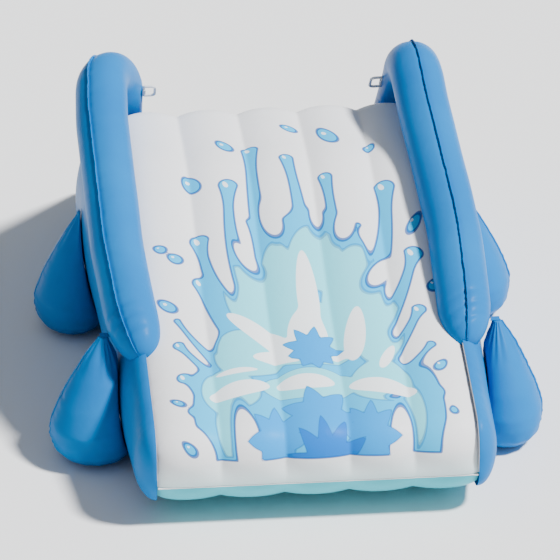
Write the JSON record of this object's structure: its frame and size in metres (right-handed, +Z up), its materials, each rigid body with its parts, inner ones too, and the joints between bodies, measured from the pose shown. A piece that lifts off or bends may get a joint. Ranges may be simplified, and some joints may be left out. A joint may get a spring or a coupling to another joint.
{
  "type": "inflatable pool slide",
  "caption": "Inflatable water slide with a lobed printed bed, arched side rails, climbing rolls, ballast bags and a hose-fed sprayer.",
  "frame": {"origin": "on the ground under the middle of the slide", "axes": "+Z up, +Y from the lip towards the climbing rolls, +X to the right seen from the lip"},
  "size_m": [2.0934, 3.3001, 1.172],
  "materials": {
    "blue_vinyl": "glossy inflated vinyl",
    "white_vinyl": "white vinyl with a printed splash",
    "aqua_vinyl": "aqua vinyl",
    "web_film": "inner vinyl film",
    "clear_plastic": "translucent moulded vinyl",
    "handle_plastic": "grey white moulded plastic",
    "hose_plastic": "dark moulded plastic",
    "washer_rubber": "black rubber"
  },
  "bodies": {
    "slide": {"web_1": "web_film", "web_2": "web_film", "web_3": "web_film", "web_4": "web_film", "sliding_sheet": "white_vinyl", "underside_sheet": "aqua_vinyl", "rear_sheet": "blue_vinyl", "body_valve_base": "clear_plastic", "side_wall_left": "blue_vinyl", "side_wall_right": "blue_vinyl", "bed_tube_1": "blue_vinyl", "bed_tube_2": "blue_vinyl", "bed_tube_3": "blue_vinyl", "bed_tube_4": "blue_vinyl", "bed_tube_5": "blue_vinyl", "handle_patch_left": "blue_vinyl", "handle_loop_left": "handle_plastic", "rail_left_valve_base": "clear_plastic", "rail_left": "blue_vinyl", "spray_nozzle": "hose_plastic", "spray_lock_nut": "hose_plastic", "hose_inlet": "hose_plastic", "hose_washer": "washer_rubber", "rail_web_left": "blue_vinyl", "handle_patch_right": "blue_vinyl", "handle_loop_right": "handle_plastic", "rail_right_valve_base": "clear_plastic", "rail_right": "blue_vinyl", "rail_web_right": "blue_vinyl", "step_roll_1": "blue_vinyl", "step_roll_2": "blue_vinyl", "step_roll_3": "blue_vinyl", "bag_strap_front_left": "blue_vinyl", "bag_filler_front_left": "clear_plastic", "ballast_bag_front_left": "blue_vinyl", "bag_strap_front_right": "blue_vinyl", "bag_filler_front_right": "clear_plastic", "ballast_bag_front_right": "blue_vinyl", "bag_strap_rear_left": "blue_vinyl", "bag_filler_rear_left": "clear_plastic", "ballast_bag_rear_left": "blue_vinyl", "bag_strap_rear_right": "blue_vinyl", "bag_filler_rear_right": "clear_plastic", "ballast_bag_rear_right": "blue_vinyl"},
    "body_cap": {"body_valve_cap": "clear_plastic"},
    "body_flap": {"body_check_flap": "clear_plastic"},
    "rail_left_cap": {"rail_left_valve_cap": "clear_plastic"},
    "rail_left_flap": {"rail_left_check_flap": "clear_plastic"},
    "rail_right_cap": {"rail_right_valve_cap": "clear_plastic"},
    "rail_right_flap": {"rail_right_check_flap": "clear_plastic"},
    "ring_left": {"handle_ring_left": "handle_plastic"},
    "ring_right": {"handle_ring_right": "handle_plastic"},
    "hose_nut": {"hose_swivel_nut": "hose_plastic"},
    "plug_front_left": {"bag_plug_front_left": "clear_plastic"},
    "plug_front_right": {"bag_plug_front_right": "clear_plastic"},
    "plug_rear_left": {"bag_plug_rear_left": "clear_plastic"},
    "plug_rear_right": {"bag_plug_rear_right": "clear_plastic"}
  },
  "joints": [
    {"name": "body_cap_hinge", "type": "hinge", "parent": "slide", "child": "body_cap", "pos_m": [-0.7933, 1.05, 0.282], "axis": [0, 1, 0], "range_deg": [0, 105]},
    {"name": "body_flap_hinge", "type": "hinge", "parent": "slide", "child": "body_flap", "pos_m": [-0.774, 1.05, 0.248], "axis": [0, 1, 0], "range_deg": [0, 35], "stiffness_Nm_per_rad": 0.0002},
    {"name": "rail_left_cap_hinge", "type": "hinge", "parent": "slide", "child": "rail_left_cap", "pos_m": [-0.73876, 1.31761, 0.33495], "axis": [0.027, 0.7352, 0.6774], "range_deg": [0, 105]},
    {"name": "rail_left_flap_hinge", "type": "hinge", "parent": "slide", "child": "rail_left_flap", "pos_m": [-0.71863, 1.33991, 0.30994], "axis": [0.027, 0.7352, 0.6774], "range_deg": [0, 35], "stiffness_Nm_per_rad": 0.0002},
    {"name": "rail_right_cap_hinge", "type": "hinge", "parent": "slide", "child": "rail_right_cap", "pos_m": [0.73876, 1.31761, 0.33495], "axis": [0.027, -0.7352, -0.6774], "range_deg": [0, 105]},
    {"name": "rail_right_flap_hinge", "type": "hinge", "parent": "slide", "child": "rail_right_flap", "pos_m": [0.71863, 1.33991, 0.30994], "axis": [0.027, -0.7352, -0.6774], "range_deg": [0, 35], "stiffness_Nm_per_rad": 0.0002},
    {"name": "ring_hinge_left", "type": "hinge", "parent": "slide", "child": "ring_left", "pos_m": [-0.53435, 0.80649, 0.88153], "axis": [-0.0248, -0.6769, 0.7356], "range_deg": [-78, 78]},
    {"name": "ring_hinge_right", "type": "hinge", "parent": "slide", "child": "ring_right", "pos_m": [0.53435, 0.80649, 0.88153], "axis": [0.0248, -0.6769, 0.7356], "range_deg": [-78, 78]},
    {"name": "hose_nut_spin", "type": "hinge", "parent": "slide", "child": "hose_nut", "pos_m": [-0.69676, 0.47093, 0.912], "axis": [0.9993, -0.0366, 0], "continuous": true},
    {"name": "plug_pull_front_left", "type": "slide", "parent": "slide", "child": "plug_front_left", "axis": [0, 1, 0], "range_m": [0, 0.02]},
    {"name": "plug_pull_front_right", "type": "slide", "parent": "slide", "child": "plug_front_right", "axis": [0, 1, 0], "range_m": [0, 0.02]},
    {"name": "plug_pull_rear_left", "type": "slide", "parent": "slide", "child": "plug_rear_left", "axis": [0, 1, 0], "range_m": [0, 0.02]},
    {"name": "plug_pull_rear_right", "type": "slide", "parent": "slide", "child": "plug_rear_right", "axis": [0, 1, 0], "range_m": [0, 0.02]}
  ]
}
